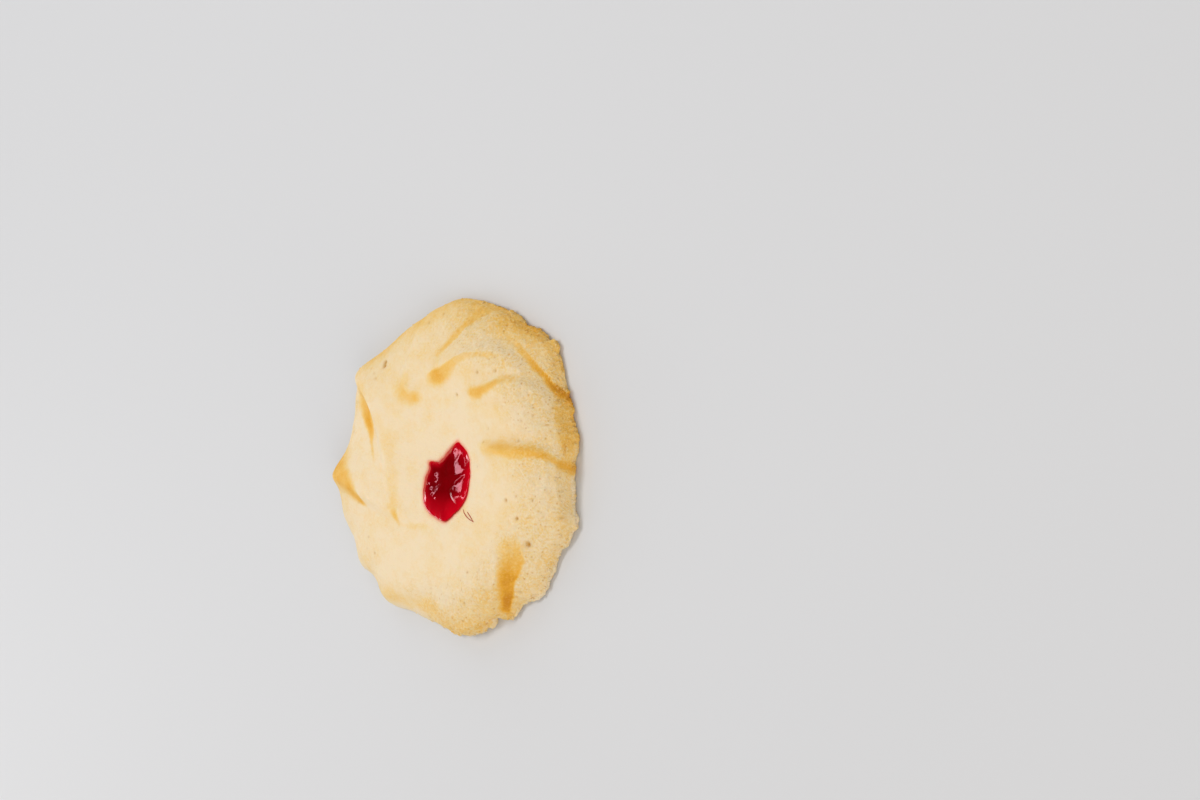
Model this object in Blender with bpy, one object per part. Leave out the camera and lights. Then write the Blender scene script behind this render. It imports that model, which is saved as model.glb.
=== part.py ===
"""Piped butter cookie with a strawberry jam centre, lying flat with the jam side up.

The biscuit is one whirl piped through a star nozzle: a low dome with a thin rim, on which
nine overlapping blades run outwards clockwise. Each blade lies on its neighbour with a steep
flank on its counterclockwise side. The jam is a second solid that fills a shallow well.
Lengths below are in millimetres, angles in degrees, and MM turns them into metres.
"""

from collections import namedtuple

import bpy
import numpy as np

MM = 0.001

# Rim: a base radius and one bell-shaped lobe (angle, height, half width) for each blade tip
RIM_RADIUS = 32.4
RIM_LOBES = (
    (188, 2.9, 6), (200, 3.7, 14), (152, 3.3, 11), (94, 1.2, 12), (68, 0.9, 14),
    (46, 2.9, 10), (29, 0.6, 7), (12, 0.8, 9), (-17, 2.7, 9), (-40, 2.2, 12),
    (-58, 1.4, 5), (-77, 2.2, 11), (-120, 2.1, 8), (-139, 2.5, 7),
)

# Dome: height of the crown above the rim edge, and how square its shoulder is
RIM_HEIGHT = 1.3
CROWN_HEIGHT = 6.8
SHOULDER = 4.2
SHOULDER_FALL = 0.62
DISH_DEPTH = 1.5
DISH_RADIUS = 11.0
DISH_CENTRE = (1.6, -1.6)

# Thin rim edge: (share of the edge height, inset) of each ring from its top to the flat base
EDGE_ROUNDING = ((0.75, -0.15), (0.4, -0.1), (0.0, 0.5))

# Jam: outline round its own centre, well depth, and how far it stands out of the well
JAM_CENTRE = (2.7, -2.8)
JAM_RADIUS = 6.03
JAM_LOBES = (
    (53, 2.3, 45), (70, 0.7, 8), (116, -2.2, 44), (151, 1.2, 9), (-80, 1.2, 15), (-115, 1.8, 36),
    (-39, 1.5, 40),
)
WELL_DEPTH = 2.4
WELL_DRAFT = 0.9
JAM_GAP = 0.3
JAM_CROWN = 0.75
JAM_EDGE_SINK = 0.1

# Mesh density
TURN_STEPS = 144
TOP_RINGS = 33
JAM_STEPS = 48
JAM_RINGS = 5

# A blade: its crest height, the width of its steep flank at the tail and at the rim, how far
# the crest's back reaches, the length over which it rises, and the foot of its flank, tail to rim
Blade = namedtuple("Blade", "height flank back rise foot")

BLADES = (
    Blade(0.9, (3.0, 2.6), 9.0, 3.0,
          ((-2.6, 12.4), (-6.0, 11.7), (-9.8, 12.0), (-12.4, 14.4), (-12.9, 18.0), (-12.2, 23.0),
           (-11.6, 29.0), (-11.4, 38.0))),
    Blade(1.4, (2.2, 3.0), 7.0, 4.0,
          ((-3.6, 20.4), (-0.8, 22.4), (2.0, 25.1), (4.6, 28.0), (7.4, 30.8), (11.6, 37.0))),
    Blade(1.6, (2.8, 3.2), 8.0, 3.2,
          ((-4.9, 16.2), (-4.4, 18.6), (-1.6, 21.2), (3.4, 23.6), (9.0, 25.4), (14.4, 26.0),
           (20.4, 24.0), (25.0, 20.9), (28.4, 17.1), (31.0, 13.6), (37.0, 4.0))),
    Blade(1.5, (2.8, 2.4), 8.0, 3.5,
          ((7.2, 13.6), (9.2, 16.0), (13.0, 17.4), (18.2, 18.8), (24.4, 18.9), (31.0, 16.0),
           (38.0, 11.0))),
    Blade(2.3, (2.8, 2.2), 10.0, 5.0,
          ((10.6, 5.8), (15.0, 6.0), (20.6, 6.1), (26.4, 6.3), (29.8, 6.0), (31.8, 4.4),
           (33.8, 2.4), (38.0, -1.4))),
    Blade(2.8, (6.0, 2.4), 11.0, 4.5,
          ((26.0, -10.6), (25.4, -14.0), (24.4, -17.2), (22.8, -20.6), (21.2, -23.8),
           (19.2, -27.2), (15.6, -35.0))),
    Blade(0.9, (3.0, 3.0), 10.0, 9.0,
          ((8.0, -21.6), (1.8, -25.6), (-6.0, -28.6), (-14.0, -31.0), (-22.0, -36.0))),
    Blade(2.2, (2.0, 3.4), 10.0, 22.0,
          ((1.5, -12.8), (-6.0, -14.0), (-13.0, -12.9), (-20.2, -10.7), (-25.0, -9.6),
           (-34.0, -8.0), (-42.0, -7.0))),
    Blade(2.2, (2.4, 3.0), 9.0, 26.0,
          ((-8.8, -13.4), (-12.8, -8.8), (-15.4, -3.4), (-17.4, 1.2), (-19.4, 5.6),
           (-22.6, 9.8), (-28.4, 13.0), (-38.0, 17.0))),
)
CURVE_STEPS = 8

# Crease at every foot, the run over which a flank reaches its rim width, how much more run the
# relief needs to rise for each millimetre away from the foot, and the point of the foot that
# gives the direction of the run
CREASE_DEPTH = 0.06
CREASE_WIDTH = 1.4
FLANK_TAPER = 12.0
TAIL_FAN = 1.8
HEADING_POINT = 3
RIM_FLATTENING = 0.45


def smoothstep(value):
    """Ease from 0 to 1, with level ends."""
    value = np.clip(value, 0.0, 1.0)
    return value * value * (3.0 - 2.0 * value)


def lobed_radius(angle, base, lobes):
    """Base radius plus a bell-shaped bump for each (centre, height, half width) in degrees."""
    radius = np.full_like(angle, base)
    for centre, height, width in lobes:
        turn = (np.degrees(angle) - centre + 180.0) % 360.0 - 180.0
        radius += height * np.exp(-(turn / width) ** 2)
    return radius


def smooth_curve(points):
    """Catmull-Rom curve through the points, with CURVE_STEPS short pieces a span."""
    points = np.array(points)
    first = 2.0 * points[0] - points[1]
    last = 2.0 * points[-1] - points[-2]
    knots = np.vstack([first, points, last])
    step = np.arange(CURVE_STEPS)[:, None] / CURVE_STEPS
    spans = []
    for a, b, c, d in zip(knots, knots[1:], knots[2:], knots[3:]):
        spans.append(0.5 * (2.0 * b + (c - a) * step + (2.0 * a - 5.0 * b + 4.0 * c - d) * step ** 2
                            + (3.0 * b - a - 3.0 * c + d) * step ** 3))
    return np.vstack(spans + [points[-1:]])


def side_of_curve(x, y, curve):
    """Signed distance of each point to the curve, positive on its right.

    The side is taken from headings eased between the curve's points, so it holds at corners.
    """
    start, span = curve[:-1], np.diff(curve, axis=0)
    length = np.hypot(span[:, 0], span[:, 1])
    heading = span / length[:, None]
    heading = np.vstack([2.0 * heading[:1], heading[:-1] + heading[1:], 2.0 * heading[-1:]])
    dx = x[..., None] - start[:, 0]
    dy = y[..., None] - start[:, 1]
    share = np.clip((dx * span[:, 0] + dy * span[:, 1]) / length ** 2, 0.0, 1.0)
    dx, dy = dx - share * span[:, 0], dy - share * span[:, 1]
    away = np.hypot(dx, dy)
    nearest = away.argmin(axis=-1)[..., None]
    share, dx, dy, away = (np.take_along_axis(values, nearest, -1)[..., 0]
                           for values in (share, dx, dy, away))
    before, after = heading[nearest[..., 0]], heading[nearest[..., 0] + 1]
    eased = before * (1.0 - share[..., None]) + after * share[..., None]
    return np.sign(dx * eased[..., 1] - dy * eased[..., 0]) * away


def blade_relief(x, y, blade):
    """A crease at the foot, a steep flank up to the crest, and a long soft back behind it.

    All of it rises from the tail along the blade's own direction, later away from the foot.
    """
    foot = np.array(blade.foot)
    distance = side_of_curve(x, y, smooth_curve(foot))
    heading = foot[HEADING_POINT] - foot[0]
    heading /= np.hypot(*heading)
    along = (x - foot[0, 0]) * heading[0] + (y - foot[0, 1]) * heading[1]
    tail, rim = blade.flank
    width = tail + (rim - tail) * smoothstep(along / FLANK_TAPER)
    flank = smoothstep(distance / width)
    back = np.exp(-(np.maximum(distance - width, 0.0) / blade.back) ** 2)
    crease = CREASE_DEPTH * np.exp(-(distance / CREASE_WIDTH) ** 2)
    rise = blade.rise + TAIL_FAN * np.maximum(distance, 0.0)
    return (blade.height * flank * back - crease) * smoothstep(along / rise)


def rim_point(angle):
    """Plan position of the widest part of the rim at each angle."""
    radius = lobed_radius(angle, RIM_RADIUS, RIM_LOBES)
    return radius * np.cos(angle), radius * np.sin(angle)


def jam_point(angle, inset=0.0):
    """Plan position of the jam's outline at each angle, drawn in by the inset."""
    radius = lobed_radius(angle, JAM_RADIUS, JAM_LOBES) - inset
    return JAM_CENTRE[0] + radius * np.cos(angle), JAM_CENTRE[1] + radius * np.sin(angle)


def top_height(x, y):
    """Dome over the lobed rim, less a shallow dish round the jam, plus the blades."""
    share = np.clip(np.hypot(x, y) / lobed_radius(np.arctan2(y, x), RIM_RADIUS, RIM_LOBES), 0, 1)
    dome = RIM_HEIGHT + CROWN_HEIGHT * (1.0 - share ** SHOULDER) ** SHOULDER_FALL
    from_dish = np.hypot(x - DISH_CENTRE[0], y - DISH_CENTRE[1])
    dish = DISH_DEPTH * np.exp(-(from_dish / DISH_RADIUS) ** 2)
    relief = sum(blade_relief(x, y, blade) for blade in BLADES)
    return dome - dish + relief * (1.0 - RIM_FLATTENING * share ** 6)


def ring(x, y, z):
    """Points of one closed ring as rows of x, y, z."""
    return np.stack([x, y, np.broadcast_to(z, x.shape)], axis=-1)


def loft(rings, start, end):
    """Vertices and faces of a closed body: rings joined in turn and closed by two centre points."""
    steps = len(rings[0])
    vertices = np.vstack([*rings, [start], [end]])
    here = np.arange(steps)
    there = np.roll(here, -1)
    faces = []
    for level in range(len(rings) - 1):
        low, high = level * steps, (level + 1) * steps
        faces += np.stack([low + here, high + here, high + there, low + there], -1).tolist()
    first, last = len(vertices) - 2, len(vertices) - 1
    tail = (len(rings) - 1) * steps
    faces += np.stack([np.full(steps, first), here, there], -1).tolist()
    faces += np.stack([np.full(steps, last), tail + there, tail + here], -1).tolist()
    return vertices, faces


def add_solid(name, rings, start, end, shift, material):
    """Make a smooth-shaded object from lofted rings, moved by the shift and put in metres."""
    vertices, faces = loft(rings, start, end)
    mesh = bpy.data.meshes.new(name)
    mesh.from_pydata(((vertices + shift) * MM).tolist(), [], faces)
    mesh.materials.append(material)
    mesh.shade_smooth()
    piece = bpy.data.objects.new(name, mesh)
    bpy.context.collection.objects.link(piece)
    return piece


def make_material(name, colour, roughness):
    """Principled material with one base colour."""
    material = bpy.data.materials.new(name)
    material.use_nodes = True
    shader = material.node_tree.nodes["Principled BSDF"]
    shader.inputs["Base Color"].default_value = (*colour, 1.0)
    shader.inputs["Roughness"].default_value = roughness
    shader.inputs["Metallic"].default_value = 0.0
    return material


def biscuit_rings(angle):
    """Rings from the well's floor up its wall, out over the top and under to the flat base."""
    rim_x, rim_y = rim_point(angle)
    jam_x, jam_y = jam_point(angle)
    jam_z = top_height(jam_x, jam_y)
    floor_x, floor_y = jam_point(angle, WELL_DRAFT)
    rings = [ring(floor_x, floor_y, WELL_FLOOR)]
    for share in np.linspace(0.0, 1.0, TOP_RINGS) ** 0.8:
        x = jam_x + (rim_x - jam_x) * share
        y = jam_y + (rim_y - jam_y) * share
        rings.append(ring(x, y, jam_z if share == 0.0 else top_height(x, y)))
    edge = rings[-1][:, 2]
    size = np.hypot(rim_x, rim_y)
    for height, inset in EDGE_ROUNDING:
        scale = 1.0 - inset / size
        rings.append(ring(rim_x * scale, rim_y * scale, edge * height))
    return rings


def jam_rings(angle):
    """Rings of the jam: a crowned top that stands out of the well, its wall and its floor."""
    edge_x, edge_y = jam_point(angle, JAM_GAP)
    edge_z = top_height(edge_x, edge_y) - JAM_EDGE_SINK
    rings = []
    for share in np.linspace(0.0, 1.0, JAM_RINGS + 1)[1:]:
        x = JAM_CENTRE[0] + (edge_x - JAM_CENTRE[0]) * share
        y = JAM_CENTRE[1] + (edge_y - JAM_CENTRE[1]) * share
        z = edge_z * share + JAM_TOP * (1.0 - share) + JAM_CROWN * share * (1.0 - share ** 3)
        rings.append(ring(x, y, z))
    x, y = jam_point(angle, WELL_DRAFT + JAM_GAP)
    rings.append(ring(x, y, WELL_FLOOR + JAM_GAP))
    return rings


def turn(steps):
    """Evenly spaced angles of one full turn."""
    return np.linspace(0.0, 2.0 * np.pi, steps, endpoint=False)


for old in list(bpy.data.objects):
    bpy.data.objects.remove(old, do_unlink=True)

jam_centre_height = float(top_height(*np.array([[JAM_CENTRE[0]], [JAM_CENTRE[1]]]))[0])
WELL_FLOOR = jam_centre_height - WELL_DEPTH
JAM_TOP = jam_centre_height + JAM_CROWN * 0.6

outline = np.stack(rim_point(turn(TURN_STEPS)), axis=-1)
middle = (outline.max(axis=0) + outline.min(axis=0)) / 2.0
to_origin = np.array([-middle[0], -middle[1], 0.0])

biscuit_material = make_material("biscuit", (0.85, 0.68, 0.42), 0.75)
jam_material = make_material("jam", (0.42, 0.005, 0.012), 0.12)

add_solid("biscuit", biscuit_rings(turn(TURN_STEPS)),
          (*JAM_CENTRE, WELL_FLOOR), (0.0, 0.0, 0.0), to_origin, biscuit_material)
add_solid("jam", jam_rings(turn(JAM_STEPS)),
          (*JAM_CENTRE, JAM_TOP), (*JAM_CENTRE, WELL_FLOOR + JAM_GAP), to_origin, jam_material)
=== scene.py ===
"""Looks of the jam whirl biscuit: fine crumb surface, glossy jam, camera, floor and light.

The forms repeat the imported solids' own formulas in millimetres round the whirl's axis, with
finer relief on top. Every piece is a surface worked out with numpy on a grid of two parameters.
"""

from collections import namedtuple

import bpy
import numpy as np
from mathutils import Matrix, Vector


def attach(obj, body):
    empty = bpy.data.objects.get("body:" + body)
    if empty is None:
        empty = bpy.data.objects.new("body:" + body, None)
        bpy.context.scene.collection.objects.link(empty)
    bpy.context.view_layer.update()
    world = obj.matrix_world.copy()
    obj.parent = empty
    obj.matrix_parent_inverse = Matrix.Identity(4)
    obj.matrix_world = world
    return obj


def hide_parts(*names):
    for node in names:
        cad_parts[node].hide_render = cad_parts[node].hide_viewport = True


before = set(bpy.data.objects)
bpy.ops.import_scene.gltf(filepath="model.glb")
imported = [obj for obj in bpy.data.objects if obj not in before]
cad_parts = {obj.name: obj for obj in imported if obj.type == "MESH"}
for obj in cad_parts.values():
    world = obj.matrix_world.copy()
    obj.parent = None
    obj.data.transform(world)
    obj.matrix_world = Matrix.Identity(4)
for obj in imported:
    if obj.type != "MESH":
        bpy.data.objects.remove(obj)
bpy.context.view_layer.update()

MM = 0.001

# Rim outline: base radius and one bell-shaped lobe (angle, height, half width) per blade tip
RIM_RADIUS = 32.4
RIM_LOBES = (
    (188, 2.9, 6), (200, 3.7, 14), (152, 3.3, 11), (94, 1.2, 12), (68, 0.9, 14),
    (46, 2.9, 10), (29, 0.6, 7), (12, 0.8, 9), (-17, 2.7, 9), (-40, 2.2, 12),
    (-58, 1.4, 5), (-77, 2.2, 11), (-120, 2.1, 8), (-139, 2.5, 7),
)

# Dome, dish and rim edge: each ring of the edge is a share of the edge's height and an inset
RIM_HEIGHT = 1.3
CROWN_HEIGHT = 6.8
SHOULDER = 4.2
SHOULDER_FALL = 0.62
DISH_DEPTH = 1.5
DISH_RADIUS = 11.0
DISH_CENTRE = (1.6, -1.6)
EDGE_ROUNDING = ((0.85, -0.05), (0.65, -0.08), (0.45, -0.06), (0.25, 0.05), (0.1, 0.25), (0.0, 0.6))
RIM_FLATTENING = 0.45
RIM_FLATTENING_POWER = 6

# Broken rim: the shares of the way from the jam to the rim from which it is ragged and loses
# height, the share of its height over RIM_HEIGHT that it loses, and the least height that is left
RAGGED_FROM = 0.965
BROKEN_FROM = 0.972
BROKEN_LOSS = 0.75
LEAST_HEIGHT = 0.6

# Jam outline, with lobes as on the rim, its place in the well, and how deep and how far the crumb
# rounds over into the well
JAM_CENTRE = (2.7, -2.8)
JAM_RADIUS = 6.03
JAM_LOBES = (
    (53, 2.3, 45), (70, 0.7, 8), (116, -2.2, 44), (151, 1.2, 9), (-80, 1.2, 15), (-115, 1.8, 36),
    (-39, 1.5, 40),
)
WELL_DEPTH = 2.4
WELL_DRAFT = 0.9
WELL_ROUNDING = 0.12
WELL_ROUNDING_SHARE = 0.012

# Jam: how far it laps over the crumb and under the well's floor, its swell and shoulder, how it
# leans, the dip in its middle as (depth, x, y, half width along x, half width along y), its fold's
# line and half width, and its lumps as (x, y, radius, height)
JAM_LIP = 0.12
JAM_OVERLAP = 0.05
JAM_SWELL = 0.5
JAM_SWELL_POWER = 2.4
JAM_SHOULDER = 0.35
JAM_LEAN = 0.045
JAM_DIP = (0.24, 2.2, -3.6, 2.2, 4.4)
JAM_FOLD = (
    (8.6, -1.1), (7.4, -2.2), (6.3, -3.3), (5.7, -4.2), (5.9, -5.2), (6.7, -6.3), (7.8, -7.3),
)
JAM_FOLD_WIDTH = 0.4
JAM_LUMPS = (
    (-0.1, -2.0, 0.5, 0.17), (0.2, -3.0, 0.45, 0.14), (-1.4, -4.0, 0.4, 0.14),
    (-0.8, -4.9, 0.45, 0.15), (-2.0, -5.9, 0.5, 0.16), (-0.4, -6.2, 0.5, 0.17),
    (0.6, -6.8, 0.4, 0.12), (8.9, -5.0, 0.4, 0.12), (4.6, 3.4, 0.7, 0.15),
)

# Two hairs of dried jam on the crumb beside it
STRANDS = (
    ((9.1, -8.4), (9.6, -9.1), (10.3, -9.7), (11.2, -10.2), (12.6, -10.6)),
    ((10.4, -8.8), (11.0, -9.3), (11.6, -9.8), (12.4, -10.5)),
)
STRAND_RADIUS = 0.1
STRAND_SIDES = 8
STRAND_TAPER = 0.25

# A blade: its crest height, the width of its steep flank at the tail and at the rim, how far
# the crest's back reaches, the length over which it rises, and the foot of its flank, tail to rim
Blade = namedtuple("Blade", "height flank back rise foot")

BLADES = (
    Blade(0.9, (3.0, 2.6), 9.0, 3.0,
          ((-2.6, 12.4), (-6.0, 11.7), (-9.8, 12.0), (-12.4, 14.4), (-12.9, 18.0), (-12.2, 23.0),
           (-11.6, 29.0), (-11.4, 38.0))),
    Blade(1.4, (2.2, 3.0), 7.0, 4.0,
          ((-3.6, 20.4), (-0.8, 22.4), (2.0, 25.1), (4.6, 28.0), (7.4, 30.8), (11.6, 37.0))),
    Blade(1.6, (2.8, 3.2), 8.0, 3.2,
          ((-4.9, 16.2), (-4.4, 18.6), (-1.6, 21.2), (3.4, 23.6), (9.0, 25.4), (14.4, 26.0),
           (20.4, 24.0), (25.0, 20.9), (28.4, 17.1), (31.0, 13.6), (37.0, 4.0))),
    Blade(1.5, (2.8, 2.4), 8.0, 3.5,
          ((7.2, 13.6), (9.2, 16.0), (13.0, 17.4), (18.2, 18.8), (24.4, 18.9), (31.0, 16.0),
           (38.0, 11.0))),
    Blade(2.3, (2.8, 2.2), 10.0, 5.0,
          ((10.6, 5.8), (15.0, 6.0), (20.6, 6.1), (26.4, 6.3), (29.8, 6.0), (31.8, 4.4),
           (33.8, 2.4), (38.0, -1.4))),
    Blade(2.8, (6.0, 2.4), 11.0, 4.5,
          ((26.0, -10.6), (25.4, -14.0), (24.4, -17.2), (22.8, -20.6), (21.2, -23.8),
           (19.2, -27.2), (15.6, -35.0))),
    Blade(0.9, (3.0, 3.0), 10.0, 9.0,
          ((8.0, -21.6), (1.8, -25.6), (-6.0, -28.6), (-14.0, -31.0), (-22.0, -36.0))),
    Blade(2.2, (2.0, 3.4), 10.0, 22.0,
          ((1.5, -12.8), (-6.0, -14.0), (-13.0, -12.9), (-20.2, -10.7), (-25.0, -9.6),
           (-34.0, -8.0), (-42.0, -7.0))),
    Blade(2.2, (2.4, 3.0), 9.0, 26.0,
          ((-8.8, -13.4), (-12.8, -8.8), (-15.4, -3.4), (-17.4, 1.2), (-19.4, 5.6),
           (-22.6, 9.8), (-28.4, 13.0), (-38.0, 17.0))),
)
CURVE_STEPS = 6

# Crease at every foot, the run over which a flank reaches its rim width, how much more run the
# relief needs to rise for each millimetre away from the foot, and the point of the foot that
# gives the direction of the run
CREASE_DEPTH = 0.06
CREASE_WIDTH = 1.4
FLANK_TAPER = 12.0
TAIL_FAN = 1.8
HEADING_POINT = 3

# A golden streak, baked where a blade stands proud: which side of its line is crisp (-1 left,
# 1 right, 0 neither), and its line as (x, y, half width, strength). The gold fades out between
# two shares of the half width.
Streak = namedtuple("Streak", "crisp line")
CRISP_FADE = (0.72, 1.15)
SOFT_FADE = (0.2, 1.5)

STREAKS = (
    Streak(0, ((-9.4, 18.8, 1.4, 0.0), (-10.4, 16.4, 2.1, 0.2), (-10.8, 14.3, 2.1, 0.3),
               (-9.2, 12.9, 1.8, 0.36), (-6.9, 12.8, 1.3, 0.45), (-4.4, 13.1, 0.7, 0.0))),
    Streak(1, ((-3.0, 21.2, 0.4, 0.0), (-0.6, 23.4, 0.7, 0.28), (1.5, 25.6, 0.8, 0.42),
               (3.6, 28.2, 0.9, 0.34), (5.9, 30.4, 1.2, 0.24), (8.5, 32.4, 1.6, 0.2))),
    Streak(-1, ((-4.6, 16.6, 0.8, 0.0), (-2.2, 17.0, 1.6, 0.46), (-0.2, 17.5, 1.7, 0.55),
                (2.6, 18.6, 1.4, 0.42), (5.8, 20.8, 1.0, 0.3), (9.0, 22.1, 0.7, 0.22),
                (13.0, 22.4, 0.6, 0.2), (17.3, 21.7, 0.8, 0.0))),
    Streak(-1, ((13.0, 26.6, 0.5, 0.0), (16.5, 25.4, 0.6, 0.15), (20.5, 23.3, 0.6, 0.36),
                (23.6, 21.0, 0.5, 0.55), (25.8, 18.8, 0.45, 0.7), (28.2, 16.4, 0.4, 0.9),
                (29.2, 15.4, 0.4, 0.8), (30.3, 14.3, 0.35, 0.45), (31.4, 13.0, 0.35, 0.0))),
    Streak(0, ((8.0, 14.4, 0.6, 0.0), (9.6, 14.8, 1.2, 0.45), (12.6, 15.1, 1.3, 0.58),
               (15.1, 15.9, 1.1, 0.56), (17.5, 17.1, 0.9, 0.4), (19.8, 17.9, 0.8, 0.25),
               (24.0, 18.2, 0.8, 0.0))),
    Streak(0, ((11.6, 4.4, 1.2, 0.0), (14.3, 4.3, 1.5, 0.26), (17.7, 4.1, 1.5, 0.36),
               (24.5, 4.2, 1.4, 0.42), (27.5, 4.3, 1.15, 0.43), (29.6, 3.9, 0.85, 0.46),
               (31.3, 2.9, 0.6, 0.52), (32.3, 1.9, 0.5, 0.56), (33.0, 0.9, 0.45, 0.5),
               (34.3, -0.4, 0.4, 0.1))),
    Streak(-1, ((21.9, -12.0, 1.8, 0.0), (22.4, -14.2, 2.3, 0.22), (22.9, -17.0, 2.1, 0.42),
                (22.4, -19.1, 1.5, 0.62), (21.5, -21.1, 1.1, 0.76), (20.6, -23.2, 0.9, 0.85),
                (19.6, -25.3, 0.7, 1.0), (18.7, -27.2, 0.5, 0.85), (18.2, -28.4, 0.5, 0.0))),
    Streak(0, ((-36.0, -0.5, 3.4, 0.4), (-32.5, -2.4, 4.2, 0.46), (-28.6, -4.4, 3.8, 0.58),
               (-26.0, -6.2, 2.8, 0.66), (-23.6, -8.0, 1.8, 0.7), (-21.8, -9.3, 1.0, 0.72),
               (-20.2, -10.5, 0.5, 0.0))),
    Streak(0, ((-26.4, 15.4, 2.2, 0.0), (-25.3, 13.6, 2.6, 0.32), (-24.0, 11.6, 2.7, 0.5),
               (-22.6, 9.3, 2.3, 0.62), (-21.5, 7.0, 1.3, 0.72), (-20.3, 4.6, 0.8, 0.6),
               (-19.5, 2.6, 0.45, 0.35), (-18.2, 0.0, 0.35, 0.15), (-17.2, -2.2, 0.3, 0.0))),
    Streak(0, ((-13.5, 7.0, 1.4, 0.0), (-13.3, 2.8, 1.9, 0.16), (-12.6, -0.7, 1.2, 0.08),
               (-11.6, -4.7, 1.7, 0.16), (-10.9, -9.3, 1.2, 0.18), (-10.2, -11.6, 0.7, 0.38),
               (-8.8, -13.6, 0.4, 0.0))),
    Streak(0, ((-7.6, -13.2, 0.4, 0.0), (-5.4, -13.0, 0.7, 0.2), (-2.4, -12.9, 0.7, 0.16),
               (0.6, -13.1, 0.4, 0.0))),
    Streak(0, ((-24.0, -26.0, 1.6, 0.05), (-13.8, -28.0, 1.8, 0.2), (-6.0, -28.6, 1.6, 0.22),
               (4.6, -28.6, 1.6, 0.0))),
)

# Pores seen in the face, as (x, y, radius), and how many finer ones are strewn by a seeded draw,
# how far from the axis, and their least radius and its spread. A pore that is narrower than the
# full radius is less deep.
PORES = (
    (26.0, -13.7, 0.55), (24.0, -8.9, 0.38), (21.2, -5.6, 0.34), (27.8, -5.1, 0.3),
    (33.0, -8.0, 0.3), (12.5, -20.5, 0.28), (11.1, -26.8, 0.28), (22.8, -23.3, 0.3),
    (-18.5, 19.6, 0.42), (-18.2, 18.8, 0.42), (-19.5, 16.2, 0.26), (11.4, 18.8, 0.3),
    (16.2, 19.3, 0.3), (5.2, 14.1, 0.28), (-17.5, -19.7, 0.28), (13.9, 5.2, 0.24),
)
FINE_PORES = 70
PORE_SEED = 7
FINE_PORES_FROM = 10.5
FINE_PORE_SIZE = 0.16
FINE_PORE_SPREAD = 0.12
PORE_DEPTH = 0.5
FULL_PORE_RADIUS = 0.4

# Loose crumbs: how many, the seed of their draw, their least and largest radius, the chance that
# one is kept outside its arc, how far a crumb's middle lies inside the rim and under the face in
# its own radii, the share of the rim's radius over which they are strewn, and the heights at which
# they stick to the side
CRUMBS = 420
CRUMB_SEED = 19
CRUMB_SIZES = (0.14, 0.36)
CRUMBS_ELSEWHERE = 0.12
CRUMB_INSET = 0.25
CRUMB_SINK = 0.45
CRUMB_BAND = 0.03
CRUMB_SIDE_HEIGHTS = (0.4, 1.5)

# Browning of the rim: its least, and what each arc adds as (angle, half width, fade, the share of
# the radius from which it browns, amount)
RIM_TONE = 0.03
RIM_TONES = (
    (100, 45, 25, 0.8, 0.26), (188, 6, 10, 0.76, 0.24), (-72, 18, 12, 0.74, 0.2),
    (-30, 24, 20, 0.9, 0.07), (36, 22, 12, 0.95, 0.17), (15, 11, 8, 0.975, 0.18),
)

# Arcs of the rim, as (angle, half width, fade): where it is ragged, gritty, crumbled down its
# side, pale on the broken edge, warmer, and strewn with pores and crumbs
RAGGED_ARC = (-10, 70, 20)
GRITTY_ARC = (-2, 75, 35)
CRUMBLED_ARC = (-10, 80, 25)
PALE_ARC = (-45, 40, 20)
WARM_ARC = (45, 85, 50)
PORE_ARC = (-5, 70, 40)
CRUMB_ARC = (-12, 66, 18)

# Two notches and a burr of the rim, as (angle, half width, fade, how far it stands out)
RIM_NICKS = ((-63.5, 1.0, 1.6, -0.9), (-82.0, 0.6, 1.0, -0.5), (-15.8, 0.3, 1.2, 0.3))

# Radius of the circle along which noise round the rim is read, and the same for the jam
RIM_CIRCLE = 34.0
JAM_CIRCLE = 6.0

# Half width of the pink stain that the jam leaves in the crumb
STAIN_WIDTH = 0.5

# A layered noise: its strength, the size of its largest cells, its seed and its number of layers
Noise = namedtuple("Noise", "strength size seed layers", defaults=(3,))

RIM_PATCHES = Noise(1.8, 5.0, 51)
WIDE_BITES = Noise(0.75, 3.0, 21)
FINE_BITES = Noise(0.8, 1.1, 31)
EDGE_CRUMBLING = Noise(0.5, 0.9, 37)
SLOW_SWELL = Noise(0.16, 6.0, 3)
SMALL_SWELL = Noise(0.075, 1.9, 9)
COARSE_GRIT = Noise(0.42, 1.0, 13)
FINE_GRIT = Noise(0.22, 0.5, 17, 2)
BASE_PITS = Noise(0.12, 2.2, 61)
STREAK_WANDER = Noise(0.28, 2.4, 57)
STREAK_PATCHES = Noise(0.15, 2.0, 47)
BAKE_WANDER = Noise(0.04, 6.0, 43)
BAKE_PATCHES = Noise(0.06, 5.0, 41)
EDGE_PATCHES = Noise(0.2, 1.8, 67)
BASE_PATCHES = Noise(0.12, 7.0, 71)
JAM_WOBBLE = Noise(0.24, 1.6, 29)
JAM_WRINKLES = Noise(0.04, 1.7, 87)
JAM_RIPPLES = Noise(0.015, 0.7, 93, 2)

# Grid density: steps of the solid's outline, then steps round the biscuit and its rings, which
# crowd towards the rim because the power is below 1, and the same for the jam
OUTLINE_STEPS = 144
STEPS = 800
TOP_RINGS = 100
RING_CROWDING = 0.82
BASE_RINGS = 16
JAM_STEPS = 192
JAM_RINGS = 40

# Camera: the photograph's view of the face, in its own 1200 by 800 pixels; how far it sees, in
# metres
PHOTO_SIZE = (1200, 800)
LENS = 70.0
SENSOR = 36.0
TILT = np.radians(44.2)
ROLL = np.radians(4.2)
PIXELS_PER_MM = 4.955
CENTRE_PIXEL = (454.1, 464.4)
CENTRE_HEIGHT = 2.5
VIEW_DEPTH = 20.0

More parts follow.
